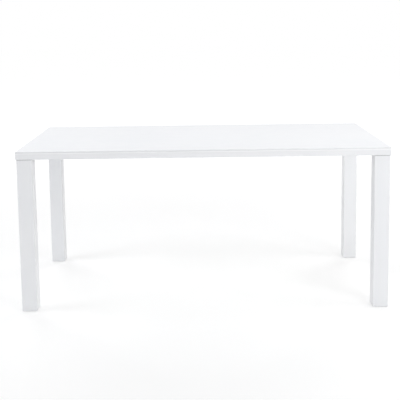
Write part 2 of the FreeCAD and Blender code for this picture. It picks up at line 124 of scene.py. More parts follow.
class LacquerProps(bpy.types.PropertyGroup):
    """The sprayed white film on everything that shows."""

    colour: FloatVectorProperty(
        name="Colour", description="White of the lacquer", subtype="COLOR", size=3,
        default=(0.845, 0.852, 0.868), min=0, max=1)
    cloud: FloatVectorProperty(
        name="Cloud", description="White that the film drifts to in soft clouds", subtype="COLOR", size=3,
        default=(0.825, 0.835, 0.856), min=0, max=1)
    arris: FloatVectorProperty(
        name="Arris", description="Where the film runs thin on the eased edges", subtype="COLOR", size=3,
        default=(0.815, 0.82, 0.83), min=0, max=1)
    # Painted shade: the narrow edge of the top skin is drawn darker than the lacquer.
    skin_edge: FloatVectorProperty(
        name="Skin edge", description="Thin film on the narrow edge of the skin", subtype="COLOR", size=3,
        default=(0.805, 0.812, 0.828), min=0, max=1)
    # Painted highlight: a lighter band along the upper rim of the edge rails, and its height.
    rail_rim: FloatVectorProperty(
        name="Rail rim", description="Fuller film along the upper rim of the rails", subtype="COLOR", size=3,
        default=(0.915, 0.922, 0.935), min=0, max=1)
    rail_rim_reach: FloatProperty(
        name="Rail rim reach", description="Height of the fuller film on the rails", default=0.006,
        unit="LENGTH", precision=4)
    # Painted shade: a thin dark line at the joint under the top skin, and its height.
    edge_joint: FloatVectorProperty(
        name="Edge joint", description="Bottom of the fine joint under the skin", subtype="COLOR", size=3,
        default=(0.66, 0.66, 0.665), min=0, max=1)
    edge_joint_reach: FloatProperty(
        name="Edge joint reach", description="Height of the shade at the joint under the skin",
        default=0.0006, unit="LENGTH", precision=4)
    # Painted shadow: a dark band at the top of each leg, under the overhanging top, and its height.
    leg_joint: FloatVectorProperty(
        name="Leg joint", description="Bottom of the joint between a leg and the top", subtype="COLOR",
        size=3, default=(0.12, 0.12, 0.122), min=0, max=1)
    leg_joint_reach: FloatProperty(
        name="Leg joint reach", description="Height of the shade at the top of a leg", default=0.004,
        unit="LENGTH", precision=4)
    roughness: FloatProperty(
        name="Roughness", description="Mean roughness of the satin film", default=0.36, min=0.05, max=1)
    smear: FloatProperty(
        name="Smear", description="How far the roughness drifts to either side", default=0.04, min=0, max=0.2)
    smear_size: FloatProperty(
        name="Smear size", description="Width of a smear in the sheen", default=0.05, unit="LENGTH")
    cloud_size: FloatProperty(
        name="Cloud size", description="Width of a cloud in the film", default=0.45, unit="LENGTH")
    peel_size: FloatProperty(
        name="Peel size", description="Width of one ripple that the spray left", default=0.0028,
        unit="LENGTH")
    peel_height: FloatProperty(
        name="Peel height", description="Height of one ripple that the spray left", default=0.000008,
        unit="LENGTH", precision=6)


class FittingProps(bpy.types.PropertyGroup):
    """The threads and drives of the hidden fittings."""

    bolt_thread: FloatProperty(
        name="Bolt thread", description="Outer diameter of the plate bolts' thread", default=0.006,
        unit="LENGTH")
    bolt_pitch: FloatProperty(
        name="Bolt pitch", description="Rise of one turn on a plate bolt", default=0.001, unit="LENGTH",
        precision=5)
    bolt_dome: FloatProperty(
        name="Bolt dome", description="Rounding of a plate bolt's head", default=0.0024, unit="LENGTH",
        precision=4)
    bolt_socket: FloatProperty(
        name="Bolt socket", description="Hexagon key that drives a plate bolt", default=0.004, unit="LENGTH")
    screw_thread: FloatProperty(
        name="Screw thread", description="Outer diameter of the leg screws", default=0.005, unit="LENGTH")
    screw_pitch: FloatProperty(
        name="Screw pitch", description="Rise of one turn on a leg screw", default=0.0022, unit="LENGTH",
        precision=4)
    screw_point: FloatProperty(
        name="Screw point", description="Length of a leg screw's taper", default=0.006, unit="LENGTH")
    insert_pitch: FloatProperty(
        name="Insert pitch", description="Rise of one outer turn on an insert", default=0.0025, unit="LENGTH",
        precision=4)
    plate_bore: FloatProperty(
        name="Plate insert bore", description="Bore of the inserts for the plate bolts", default=0.0061,
        unit="LENGTH", precision=4)
    glide_bore: FloatProperty(
        name="Glide insert bore", description="Bore of the inserts for the glides", default=0.0081,
        unit="LENGTH", precision=4)
    glide_barrel: FloatProperty(
        name="Glide insert barrel", description="Outer diameter of a glide insert's thread", default=0.012,
        unit="LENGTH")
    glide_flange: FloatProperty(
        name="Glide insert flange", description="Thickness of a glide insert's flange", default=0.0015,
        unit="LENGTH", precision=4)
    stem_thread: FloatProperty(
        name="Stem thread", description="Outer diameter of the glide stems", default=0.008, unit="LENGTH")
    stem_pitch: FloatProperty(
        name="Stem pitch", description="Rise of one turn on a glide stem", default=0.00125, unit="LENGTH",
        precision=5)
    pad_width: FloatProperty(
        name="Pad width", description="Diameter of a glide pad", default=0.032, unit="LENGTH")
    pad_grips: IntProperty(
        name="Pad grips", description="Finger grips round a glide pad", default=12, min=3, max=24)
    thread_steps: IntProperty(
        name="Thread steps", description="Faces in one turn of a thread", default=24, min=8, max=64)


class StudioProps(bpy.types.PropertyGroup):
    """The camera, the power of the softboxes and the white of the floor."""

    camera_place: FloatVectorProperty(
        name="Camera place", description="Eye of the camera", subtype="TRANSLATION", size=3,
        default=(-0.0125, -4.0232, 1.3419), unit="LENGTH")
    camera_pitch: FloatProperty(
        name="Camera pitch", description="Tilt of the camera, up from level", default=math.radians(-7.232),
        subtype="ANGLE")
    camera_roll: FloatProperty(
        name="Camera roll", description="Turn of the camera about its view", default=math.radians(-0.747),
        subtype="ANGLE")
    camera_lens: FloatProperty(
        name="Lens", description="Focal length", default=72.744, unit="CAMERA")
    camera_shift: FloatProperty(
        name="Shift", description="Upright lens shift, which keeps the legs near parallel", default=-0.20)
    fill: FloatProperty(
        name="Fill", description="Strength of the even light from all round", default=0.20, min=0)
    overhead: FloatProperty(
        name="Overhead", description="Softbox above the table", default=14, min=0, unit="POWER")
    cool_white: FloatVectorProperty(
        name="Cool white", description="Colour of the softboxes above the table and on the left",
        subtype="COLOR", size=3, default=(0.955, 0.97, 1.0), min=0, max=1)
    front: FloatProperty(
        name="Front", description="Low softbox far in front", default=57, min=0, unit="POWER")
    right_front: FloatProperty(
        name="Right front", description="Softbox in front on the right", default=71, min=0, unit="POWER")
    right_near: FloatProperty(
        name="Right near", description="High softbox near the right front corner", default=20, min=0,
        unit="POWER")
    left_front: FloatProperty(
        name="Left front", description="Low softbox far in front on the left", default=86, min=0,
        unit="POWER")
    right_side: FloatProperty(
        name="Right side", description="High softbox on the right", default=32, min=0, unit="POWER")
    left_side: FloatProperty(
        name="Left side", description="High softbox on the left", default=42, min=0, unit="POWER")
    back: FloatProperty(
        name="Back", description="Each of two high softboxes behind the table", default=201, min=0,
        unit="POWER")
    floor_colour: FloatVectorProperty(
        name="Floor colour", description="Pale floor", subtype="COLOR", size=3, default=(0.86, 0.86, 0.86))
    shadow_share: FloatProperty(
        name="Shadow share", description="How much of its real shading the white floor shows", default=0.6,
        min=0, max=1)
    near_white: FloatProperty(
        name="Near white", description="Strength of the white floor at the table", default=1.275, min=0)
    far_white: FloatProperty(
        name="Far white", description="Strength of the white floor where the softboxes don't reach",
        default=2.24, min=0)
    near_reach: FloatProperty(
        name="Near reach", description="Distance from the middle where the near white ends", default=1.3,
        min=0, unit="LENGTH")
    far_reach: FloatProperty(
        name="Far reach", description="Distance from the middle where the far white begins", default=8,
        min=0, unit="LENGTH")
    floor_radius: FloatProperty(
        name="Floor radius", description="Radius of the round floor", default=30, min=0, unit="LENGTH")


class Finish:
    """A node material in the making, with short calls for the nodes that several finishes share."""

    def __init__(self, name):
        self.material = bpy.data.materials.new(name)
        self.material.use_nodes = True
        self.tree = self.material.node_tree
        self.surface = self.tree.nodes["Principled BSDF"]
        self.place = self.add("ShaderNodeTexCoord").outputs["Object"]

    def add(self, kind, **settings):
        """A new node with some of its settings changed."""
        node = self.tree.nodes.new(kind)
        for name, setting in settings.items():
            setattr(node, name, setting)
        return node

    def feed(self, socket, source):
        """Link a socket to another node's output, or set a plain value on it."""
        if isinstance(source, bpy.types.NodeSocket):
            self.tree.links.new(source, socket)
        else:
            socket.default_value = source

    def set(self, **sockets):
        """Feed the shader's own sockets, named with an underscore for each space."""
        for name, source in sockets.items():
            self.feed(self.surface.inputs[name.replace("_", " ")], source)

    def noise(self, size, detail=2.0, stretch=(1, 1, 1)):
        """Soft noise with features of about that size in metres, drawn out by a stretch over 1."""
        mapping = self.add("ShaderNodeMapping")
        mapping.inputs["Scale"].default_value = [1 / (size * along) for along in stretch]
        self.feed(mapping.inputs["Vector"], self.place)
        texture = self.add("ShaderNodeTexNoise")
        texture.inputs["Scale"].default_value = 1
        texture.inputs["Detail"].default_value = detail
        self.feed(texture.inputs["Vector"], mapping.outputs["Vector"])
        return texture.outputs["Fac"]

    def axes(self):
        """The three coordinates of the shaded point."""
        return self.add_fed("ShaderNodeSeparateXYZ", self.place).outputs

    def add_fed(self, kind, *sources, **settings):
        """A new node with its first sockets fed in order."""
        node = self.add(kind, **settings)
        for socket, source in zip(node.inputs, sources):
            self.feed(socket, source)
        return node

    def math(self, operation, *sources):
        """The result of one sum."""
        return self.add_fed("ShaderNodeMath", *sources, operation=operation).outputs["Value"]

    def ramp(self, source, start, end, low=0.0, high=1.0):
        """A smooth step from low at start to high at end."""
        step = self.add_fed("ShaderNodeMapRange", source, start, end, low, high,
                            interpolation_type="SMOOTHSTEP")
        return step.outputs["Result"]

    def blend(self, share, first, second):
        """The first colour, the second, or a share of both."""
        mix = self.add("ShaderNodeMix", data_type="RGBA")
        self.feed(mix.inputs["Factor"], share)
        for name, colour in (("A_Color", first), ("B_Color", second)):
            socket = next(socket for socket in mix.inputs if socket.identifier == name)
            self.feed(socket, colour if isinstance(colour, bpy.types.NodeSocket) else (*colour, 1))
        return next(socket for socket in mix.outputs if socket.identifier == "Result_Color")

    def bump(self, height, depth):
        """A normal that ripples with a height from 0 to 1, which stands for that depth in metres."""
        node = self.add("ShaderNodeBump")
        node.inputs["Distance"].default_value = depth
        self.feed(node.inputs["Height"], height)
        return node.outputs["Normal"]


def dress(material, nodes):
    """Put a finish on carried-over nodes."""
    for name in nodes:
        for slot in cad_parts[name].material_slots:
            slot.material = material


def lacquer(name, props, film, joint_level, joint_shade_reach, joint_shade):
    """Satin white lacquer, whose film changes along the edges, with painted shade in the open joint at one
    level.
    """
    finish = Finish(name)
    axes = finish.axes()
    clouds = finish.ramp(finish.noise(props.cloud_size, detail=3), 0.35, 0.65)
    colour = finish.blend(clouds, props.colour, props.cloud)
    colour = film(finish, props, colour, axes)
    # Painted shade, darkest at the joint level and fading over the joint's reach.
    from_joint = finish.math("ABSOLUTE", finish.math("SUBTRACT", axes["Z"], joint_level))
    colour = finish.blend(finish.ramp(from_joint, joint_shade_reach, 0.0), colour, joint_shade)
    smears = finish.noise(props.smear_size, detail=4)
    roughness = finish.ramp(smears, 0.3, 0.7, props.roughness - props.smear, props.roughness + props.smear)
    ripples = finish.bump(finish.noise(props.peel_size), props.peel_height)
    finish.set(Base_Color=colour, Roughness=roughness, Normal=ripples, Specular_IOR_Level=0.5)
    return finish.material


def top_film(finish, props, colour, axes):
    """Thinner on the rounded rim, painted shade on the edge of the skin, painted highlight along the rails'
    upper rim.
    """
    x, y, z = axes
    low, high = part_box("top_skin")
    along = finish.math("MINIMUM", finish.math("SUBTRACT", high.x, finish.math("ABSOLUTE", x)),
                        finish.math("SUBTRACT", high.y, finish.math("ABSOLUTE", y)))
    from_arris = finish.math("MAXIMUM", along, finish.math("SUBTRACT", high.z, z))
    on_skin = finish.ramp(z, low.z, low.z + WELD)
    on_rails = finish.math("SUBTRACT", 1.0, on_skin)
    edge_shade_start, edge_shade_full = high.z - 0.0004, high.z - 0.0014
    highlight_start, highlight_full = low.z - props.rail_rim_reach, low.z - 0.6 * props.rail_rim_reach
    arris_start, arris_full = 0.0012, 0.0003
    # Painted shade on the narrow edge of the skin, darker below its upper rim.
    edge = finish.math("MULTIPLY", on_skin, finish.ramp(z, edge_shade_start, edge_shade_full))
    # Painted highlight along the upper rim of the rails.
    rim = finish.math("MULTIPLY", on_rails, finish.ramp(z, highlight_start, highlight_full))
    colour = finish.blend(edge, colour, props.skin_edge)
    colour = finish.blend(rim, colour, props.rail_rim)
    return finish.blend(finish.ramp(from_arris, arris_start, arris_full), colour, props.arris)


def leg_film(finish, props, colour, axes):
    """Thinner on the upright edges of the legs, which fold onto one leg about the middle planes."""
    x, y = axes[:2]
    centre = middle_of("back_right_glide_pad")
    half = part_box("back_right_leg_right_board")[1].x - centre.x
    across = finish.math("ABSOLUTE", finish.math("SUBTRACT", finish.math("ABSOLUTE", x), centre.x))
    along = finish.math("ABSOLUTE", finish.math("SUBTRACT", finish.math("ABSOLUTE", y), centre.y))
    arris_start, arris_full = half - 0.0016, half - 0.0006
    edges = finish.ramp(finish.math("MINIMUM", across, along), arris_start, arris_full)
    return finish.blend(edges, colour, props.arris)


def foil():
    """Plain white foil with a fine printed emboss."""
    finish = Finish("white_foil")
    patches = finish.ramp(finish.noise(0.2), 0.3, 0.7)
    finish.set(Base_Color=finish.blend(patches, (0.80, 0.80, 0.79), (0.765, 0.765, 0.75)),
               Roughness=finish.ramp(finish.noise(0.01), 0.3, 0.7, 0.42, 0.55),
               Normal=finish.bump(finish.noise(0.0009), 0.00002))
    return finish.material


def fibreboard():
    """Raw pressed fibres: brown with short paler and darker flecks."""
    finish = Finish("raw_fibreboard")
    felt = finish.ramp(finish.noise(0.0016, detail=6), 0.35, 0.65)
    flecks = finish.ramp(finish.noise(0.0035, detail=2, stretch=(1, 1, 0.25)), 0.62, 0.72)
    colour = finish.blend(felt, (0.36, 0.24, 0.14), (0.52, 0.38, 0.24))
    finish.set(Base_Color=finish.blend(flecks, colour, (0.24, 0.15, 0.08)),
               Roughness=finish.ramp(felt, 0.0, 1.0, 0.78, 0.92),
               Normal=finish.bump(felt, 0.00012))
    return finish.material


def beech():
    """Raw beech with upright grain and short dark rays."""
    finish = Finish("raw_beech")
    grain = finish.ramp(finish.noise(0.004, detail=4, stretch=(1, 1, 14)), 0.3, 0.7)
    rays = finish.ramp(finish.noise(0.0012, detail=1, stretch=(1, 1, 3.5)), 0.66, 0.74)
    colour = finish.blend(grain, (0.60, 0.38, 0.22), (0.74, 0.53, 0.34))
    finish.set(Base_Color=finish.blend(rays, colour, (0.40, 0.22, 0.11)),
               Roughness=finish.ramp(grain, 0.0, 1.0, 0.55, 0.68),
               Normal=finish.bump(grain, 0.00006))
    return finish.material


def zinc_steel():
    """Bright zinc plating, with a faint spangle and duller patches."""
    finish = Finish("zinc_steel")
    spangle = finish.ramp(finish.noise(0.0035, detail=3), 0.3, 0.7)
    scuffs = finish.ramp(finish.noise(0.012, detail=5, stretch=(1, 0.1, 1)), 0.58, 0.72)
    finish.set(Base_Color=finish.blend(spangle, (0.47, 0.48, 0.50), (0.55, 0.55, 0.54)),
               Metallic=1.0,
               Roughness=finish.ramp(scuffs, 0.0, 1.0, 0.30, 0.48),
               Normal=finish.bump(finish.noise(0.0008), 0.000015))
    return finish.material


def zinc_cast():
    """Die-cast zinc: grey, dull and finely pitted."""
    finish = Finish("zinc_cast")
    stains = finish.ramp(finish.noise(0.008, detail=4), 0.35, 0.65)
    finish.set(Base_Color=finish.blend(stains, (0.42, 0.42, 0.42), (0.55, 0.54, 0.52)),
               Metallic=1.0,
               Roughness=finish.ramp(stains, 0.0, 1.0, 0.42, 0.58),
               Normal=finish.bump(finish.noise(0.0006, detail=4), 0.00004))
    return finish.material


def nylon():
    """Moulded grey nylon, scuffed paler where it slides."""
    finish = Finish("nylon")
    scuffs = finish.ramp(finish.noise(0.003, detail=5), 0.4, 0.6)
    near_floor = finish.ramp(finish.axes()["Z"], 0.0012, 0.0)
    worn = finish.math("MULTIPLY", near_floor, scuffs)
    mottle = finish.ramp(finish.noise(0.005, detail=3), 0.3, 0.7)
    colour = finish.blend(mottle, (0.20, 0.20, 0.205), (0.25, 0.25, 0.255))
    finish.set(Base_Color=finish.blend(worn, colour, (0.40, 0.40, 0.40)),
               Roughness=finish.ramp(mottle, 0.0, 1.0, 0.48, 0.60),
               Normal=finish.bump(finish.noise(0.0007), 0.00003))
    return finish.material


def shared(maker):
    """The material of that maker's name, made at its first use."""
    return bpy.data.materials.get(maker.__name__) or maker()


def edit(piece, mode):
    """Make a piece the one that is selected and worked on, in edit or object mode."""
    bpy.ops.object.select_all(action="DESELECT")
    bpy.context.view_layer.objects.active = piece
    piece.select_set(True)
    bpy.ops.object.mode_set(mode=mode)


def started(name):
    """The object that was just added, named, with its turn and place taken into its mesh."""
    piece = bpy.context.object
    piece.name = name
    piece.data.name = name
    bpy.ops.object.transform_apply(location=True, rotation=True, scale=True)
    return piece


def new_primitive(name, adder, **sizes):
    """A primitive of those sizes, added with nothing else selected."""
    bpy.ops.object.select_all(action="DESELECT")
    adder(**sizes)
    return started(name)


def choose(piece, kind, wanted):
    """Select the verts, edges or faces of the piece in edit mode that the wanted test picks."""
    bpy.ops.mesh.select_mode(type={"verts": "VERT", "edges": "EDGE", "faces": "FACE"}[kind])
    bpy.ops.mesh.select_all(action="DESELECT")
    mesh = bmesh.from_edit_mesh(piece.data)
    for item in getattr(mesh, kind):
        if wanted(item):
            item.select_set(True)
    bmesh.update_edit_mesh(piece.data)


def turned(name, profile, vertices=48):
    """A piece turned about Z: a disc extruded and scaled along (radius, level) pairs."""
    radius, level = profile[0]
    piece = new_primitive(name, bpy.ops.mesh.primitive_circle_add, vertices=vertices, radius=radius,
                          fill_type="NGON", location=(0, 0, level))
    edit(piece, "EDIT")
    bpy.ops.mesh.select_all(action="SELECT")
    for next_radius, next_level in profile[1:]:
        bpy.ops.mesh.extrude_region_move(TRANSFORM_OT_translate={"value": (0, 0, next_level - level)})
        share = next_radius / radius
        bpy.ops.transform.resize(value=(share, share, 1))
        radius, level = next_radius, next_level
    bpy.ops.mesh.select_all(action="SELECT")
    bpy.ops.mesh.normals_make_consistent(inside=False)
    bpy.ops.object.mode_set(mode="OBJECT")
    return piece


def bore(name, diameter, low, high):
    """A plain bar that cuts a hole right through between two levels."""
    return turned(name, [(diameter / 2, low - OVERSHOOT), (diameter / 2, high + OVERSHOOT)])


def hexagon(name, across, low, high):
    """A six-sided bar, measured across its flats."""
    corner = across / math.sqrt(3)
    return turned(name, [(corner, low), (corner, high)], vertices=6)


def combine(piece, operation, *tools):
    """Join, cut or crop a piece with other closed shapes, which are used up."""
    for tool in tools:
        edit(piece, "OBJECT")
        modifier = piece.modifiers.new("Combine", "BOOLEAN")
        modifier.operation = operation
        modifier.object = tool
        modifier.solver = "EXACT"
        bpy.ops.object.modifier_apply(modifier=modifier.name)
        bpy.data.objects.remove(tool)


def ease_ring(piece, radius, level, width, segments):
    """Bevel the ring of edges whose corners lie at one radius and level."""
    edit(piece, "EDIT")
    choose(piece, "edges", lambda edge: all(
        abs(vert.co.z - level) < WELD and abs(vert.co.xy.length - radius) < WELD for vert in edge.verts))
    bpy.ops.mesh.bevel(offset=width, segments=segments, affect="EDGES")
    bpy.ops.object.mode_set(mode="OBJECT")


def threaded_rod(name, radius, pitch, depth, low, high, steps):
    """A rod along Z with a sixty degree thread, flat at its crests and roots and cut square at both ends."""
    crest = pitch / 8
    side = 2 * depth / math.sqrt(3) + crest
    corner = side / math.sqrt(3)
    out = radius + crest * math.sqrt(0.75) - corner
    start = low - 2 * pitch
    rod = new_primitive(name, bpy.ops.mesh.primitive_circle_add, vertices=3, radius=corner,
                        location=(out, 0, start), rotation=(-math.pi / 2, -math.pi / 2, 0))
    edit(rod, "EDIT")
    choose(rod, "edges", lambda edge: all(vert.co.x < out for vert in edge.verts))
    bpy.ops.mesh.delete(type="EDGE")
    choose(rod, "verts", lambda vert: vert.co.x > out)
    bpy.ops.mesh.bevel(offset=crest, affect="VERTICES")
    choose(rod, "verts", lambda vert: vert.co.x < out and vert.co.z < start)
    bpy.ops.mesh.extrude_region_move(TRANSFORM_OT_translate={"value": (0, 0, side - pitch)})
    bpy.ops.object.mode_set(mode="OBJECT")
    sweep = rod.modifiers.new("Thread", "SCREW")
    sweep.screw_offset = pitch
    sweep.iterations = math.ceil((high - low) / pitch) + 4
    sweep.steps = sweep.render_steps = steps
    bpy.ops.object.modifier_apply(modifier=sweep.name)
    edit(rod, "EDIT")
    bpy.ops.mesh.select_all(action="SELECT")
    bpy.ops.mesh.remove_doubles(threshold=WELD)
    bpy.ops.mesh.bisect(plane_co=(0, 0, low), plane_no=(0, 0, 1), use_fill=True, clear_inner=True,
                        threshold=WELD)
    bpy.ops.mesh.select_all(action="SELECT")
    bpy.ops.mesh.bisect(plane_co=(0, 0, high), plane_no=(0, 0, 1), use_fill=True, clear_outer=True,
                        threshold=WELD)
    bpy.ops.mesh.select_all(action="SELECT")
    bpy.ops.mesh.normals_make_consistent(inside=False)
    bpy.ops.object.mode_set(mode="OBJECT")
    return rod


def thread_inside(name, radius, pitch, depth, profile, steps):
    """A thread cropped to a turned outline, which gives its ends their shape."""
    levels = [level for _, level in profile]
    low, high = min(levels) - pitch / 2, max(levels) + pitch / 2
    rod = threaded_rod(name, radius, pitch, depth, low, high, steps)
    combine(rod, "INTERSECT", turned(f"{name}_outline", profile))
    return rod


def wedge(name, size, level, turn, narrowing=0.35, above=0.02):
    """A bar that narrows downwards, to cut one arm of a cross recess from just above a level."""
    depth = size[2]
    bar = new_primitive(name, bpy.ops.mesh.primitive_cube_add, size=1, scale=size,
                        location=(0, 0, level + (above - 0.5) * depth), rotation=(0, 0, turn))
    edit(bar, "EDIT")
    choose(bar, "faces", lambda face: face.normal.z < -0.5)
    bpy.ops.transform.resize(value=(narrowing, narrowing, 1))
    bpy.ops.object.mode_set(mode="OBJECT")
    return bar


def checked(piece):
    """Weld and smooth a finished piece, and stop if its skin isn't closed."""
    edit(piece, "EDIT")
    bpy.ops.mesh.select_all(action="SELECT")
    bpy.ops.mesh.remove_doubles(threshold=WELD)
    bpy.ops.mesh.normals_make_consistent(inside=False)
    bpy.ops.mesh.select_mode(type="EDGE")
    bpy.ops.mesh.select_all(action="DESELECT")
    bpy.ops.mesh.select_non_manifold()
    bpy.ops.object.mode_set(mode="OBJECT")
    loose = sum(edge.select for edge in piece.data.edges)
    if loose or not piece.data.polygons:
        raise RuntimeError(f"{piece.name} isn't closed: {loose} open edges")
    bpy.ops.object.shade_smooth_by_angle(angle=SMOOTH_ANGLE)
    return piece


def copied(piece, name, place, turn=0.0):
    """A copy with a mesh of its own, turned about Z and moved to a place."""
    edit(piece, "OBJECT")
    bpy.ops.object.duplicate()
    twin = bpy.context.object
    twin.location = (place.x, place.y, 0)
    twin.rotation_euler.z = turn
    return started(name)


def spread(piece, name, places):
    """One piece made of copies at all the places, each turned its own way. The pattern is used up."""
    twins = [copied(piece, f"{name}_{number}", place, number * GOLDEN_ANGLE)
             for number, place in enumerate(places)]
    bpy.ops.object.select_all(action="DESELECT")
    for twin in twins:
        twin.select_set(True)
    bpy.context.view_layer.objects.active = twins[0]
    bpy.ops.object.join()
    bpy.data.objects.remove(piece)
    twins[0].name = name
    twins[0].data.name = name
    return twins[0]


def hand_over(piece, material, body, node):
    """Give a finished piece its material and its body, and hide the node that it stands for."""
    piece.data.materials.clear()
    piece.data.materials.append(material)
    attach(piece, body)
    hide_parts(node)


class TABLE_OT_lacquer_top(bpy.types.Operator):
    """Finish the skin and the edge rails of the top in white lacquer"""

    bl_idname = "table.lacquer_top"
    bl_label = "Lacquer the Top"

    def execute(self, context):
        props = context.scene.table_lacquer
        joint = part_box("top_skin")[0].z
        # The joint under the skin gets a painted shade.
        finish = lacquer("white_lacquer_top", props, top_film, joint,
                         props.edge_joint_reach, props.edge_joint)
        dress(finish, TOP_PIECES)
        return {"FINISHED"}


class TABLE_OT_lacquer_legs(bpy.types.Operator):
    """Finish the boards of the four legs in white lacquer"""

    bl_idname = "table.lacquer_legs"
    bl_label = "Lacquer the Legs"

    def execute(self, context):
        props = context.scene.table_lacquer
        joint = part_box(LEG_BOARDS[0])[1].z
        # The top of each leg gets a painted shadow where it meets the top.
        finish = lacquer("white_lacquer_legs", props, leg_film, joint,
                         props.leg_joint_reach, props.leg_joint)
        dress(finish, LEG_BOARDS)
        return {"FINISHED"}


class TABLE_OT_cover_underside(bpy.types.Operator):
    """Finish the panel under the top in white foil"""

    bl_idname = "table.cover_underside"
    bl_label = "Cover the Underside"

    def execute(self, context):
        dress(foil(), ["underside_panel"])
        return {"FINISHED"}


class TABLE_OT_finish_core(bpy.types.Operator):
    """Leave the ribs in raw fibreboard and the blocks in raw beech"""

    bl_idname = "table.finish_core"
    bl_label = "Finish the Core"

    def execute(self, context):
        dress(fibreboard(), RIBS)
        dress(beech(), BLOCKS)
        return {"FINISHED"}


class TABLE_OT_plate_steel(bpy.types.Operator):
    """Zinc plate the mounting plates and their washers"""

    bl_idname = "table.plate_steel"
    bl_label = "Plate the Steel"

    def execute(self, context):
        dress(shared(zinc_steel), PLATES)
        return {"FINISHED"}


class TABLE_OT_turn_bolts(bpy.types.Operator):
    """Turn the domed bolts that hold the plates to the top"""

    bl_idname = "table.turn_bolts"
    bl_label = "Turn the Plate Bolts"

    def execute(self, context):
        props = context.scene.table_fittings
        bolts = solids_of("plate_bolts", FASTENER_REACH)
        low, high = bolts[0]
        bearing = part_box("plate_washers")[0].z
        head = (high.x - low.x) / 2
        radius = props.bolt_thread / 2
        neck = 0.9 * radius
        crest = CREST_MARGIN * radius
        tip = 0.75 * radius
        lead_in = 0.0009
        socket_floor = low.z + 0.002
        socket_chamfer = 0.00015
        bolt = turned("bolt_pattern", [(head, low.z), (head, bearing), (neck, bearing),
                                       (neck, bearing + props.bolt_pitch)])
        ease_ring(bolt, head, low.z, props.bolt_dome, segments=8)
        shank = thread_inside("bolt_shank", radius, props.bolt_pitch, METRIC_DEPTH * props.bolt_pitch,
                              [(crest, bearing - SINK), (crest, high.z - lead_in), (tip, high.z)],
                              props.thread_steps)
        combine(bolt, "UNION", shank)
        key = hexagon("bolt_key", props.bolt_socket, low.z - OVERSHOOT, socket_floor)
        combine(bolt, "DIFFERENCE", key)
        ease_ring(bolt, props.bolt_socket / math.sqrt(3), low.z, socket_chamfer, segments=1)
        bolts = spread(bolt, "domed_bolts", middles(bolts))
        hand_over(checked(bolts), shared(zinc_steel), "table", "plate_bolts")
        return {"FINISHED"}


class TABLE_OT_turn_screws(bpy.types.Operator):
    """Turn the countersunk screws that hold the legs to the plates"""

    bl_idname = "table.turn_screws"
    bl_label = "Turn the Leg Screws"

    def execute(self, context):
        props = context.scene.table_fittings
        screws = solids_of("leg_screws", FASTENER_REACH)
        low, high = screws[0]
        head = (high.x - low.x) / 2
        radius = props.screw_thread / 2
        depth = SCREW_DEPTH * radius
        core = radius - depth
        plain = 1.1 * core
        crest = CREST_MARGIN * radius
        rim = high.z - 0.0004
        thread_end = low.z + 0.68 * (high.z - low.z)
        fade = thread_end - 0.001
        tip, half_taper = 0.0002, 0.7 * radius
        recess_arm = (0.0048, 0.001, 0.0026)
        screw = turned("screw_pattern", [(head, high.z), (head, rim), (plain, rim - head + plain),
                                         (plain, fade)])
        shank = thread_inside("screw_shank", radius, props.screw_pitch, depth,
                              [(tip, low.z), (half_taper, low.z + 0.5 * props.screw_point),
                               (crest, low.z + props.screw_point), (crest, fade), (core, thread_end)],
                              props.thread_steps)
        combine(screw, "UNION", shank)
        combine(screw, "DIFFERENCE", wedge("recess_along", recess_arm, high.z, 0),
                wedge("recess_across", recess_arm, high.z, math.pi / 2))
        screws = spread(screw, "countersunk_screws", middles(screws))
        hand_over(checked(screws), shared(zinc_steel), "table", "leg_screws")
        return {"FINISHED"}


class TABLE_OT_cast_inserts(bpy.types.Operator):
    """Cast the threaded inserts for the plate bolts and for the glides"""

    bl_idname = "table.cast_inserts"
    bl_label = "Cast the Inserts"

    def execute(self, context):
        props = context.scene.table_fittings
        depth = INSERT_DEPTH * props.insert_pitch
        inserts = solids_of("plate_inserts", FASTENER_REACH)
        low, high = inserts[0]
        radius = (high.x - low.x) / 2
        crest = CREST_MARGIN * radius
        lead_in = 0.0012
        key_width, key_floor = 1.06 * props.plate_bore, low.z + 0.003
        insert = thread_inside("plate_insert_pattern", radius, props.insert_pitch, depth,
                               [(crest, low.z), (crest, high.z - lead_in), (radius - depth, high.z)],
                               props.thread_steps)
        combine(insert, "DIFFERENCE", bore("plate_bore", props.plate_bore, low.z, high.z),
                hexagon("plate_key", key_width, low.z - OVERSHOOT, key_floor))
        inserts = spread(insert, "plate_thread_inserts", middles(inserts))
        hand_over(checked(inserts), shared(zinc_cast), "table", "plate_inserts")

        inserts = solids_of("glide_inserts", FLANGE_REACH)
        low, high = inserts[0]
        radius = props.glide_barrel / 2
        crest = CREST_MARGIN * radius
        flange = (high.x - low.x) / 2
        seat = low.z + props.glide_flange
        collar, collar_end = (0.9 * radius, seat), (0.8 * radius, seat + 0.001)
        flange_rounding = 0.0004
        lead_in = 0.0014
        key_width, key_floor = 1.05 * props.glide_bore, low.z + 0.0025
        insert = turned("glide_insert_pattern", [(flange, low.z), (flange, seat), collar, collar_end])
        ease_ring(insert, flange, low.z, flange_rounding, segments=3)
        barrel = thread_inside("glide_insert_barrel", radius, props.insert_pitch, depth,
                               [(crest, seat - SINK), (crest, high.z - lead_in), (radius - depth, high.z)],
                               props.thread_steps)
        combine(insert, "UNION", barrel)
        combine(insert, "DIFFERENCE", bore("glide_bore", props.glide_bore, low.z, high.z),
                hexagon("glide_key", key_width, low.z - OVERSHOOT, key_floor))
        inserts = spread(insert, "glide_thread_inserts", middles(inserts))
        hand_over(checked(inserts), shared(zinc_cast), "table", "glide_inserts")
        return {"FINISHED"}


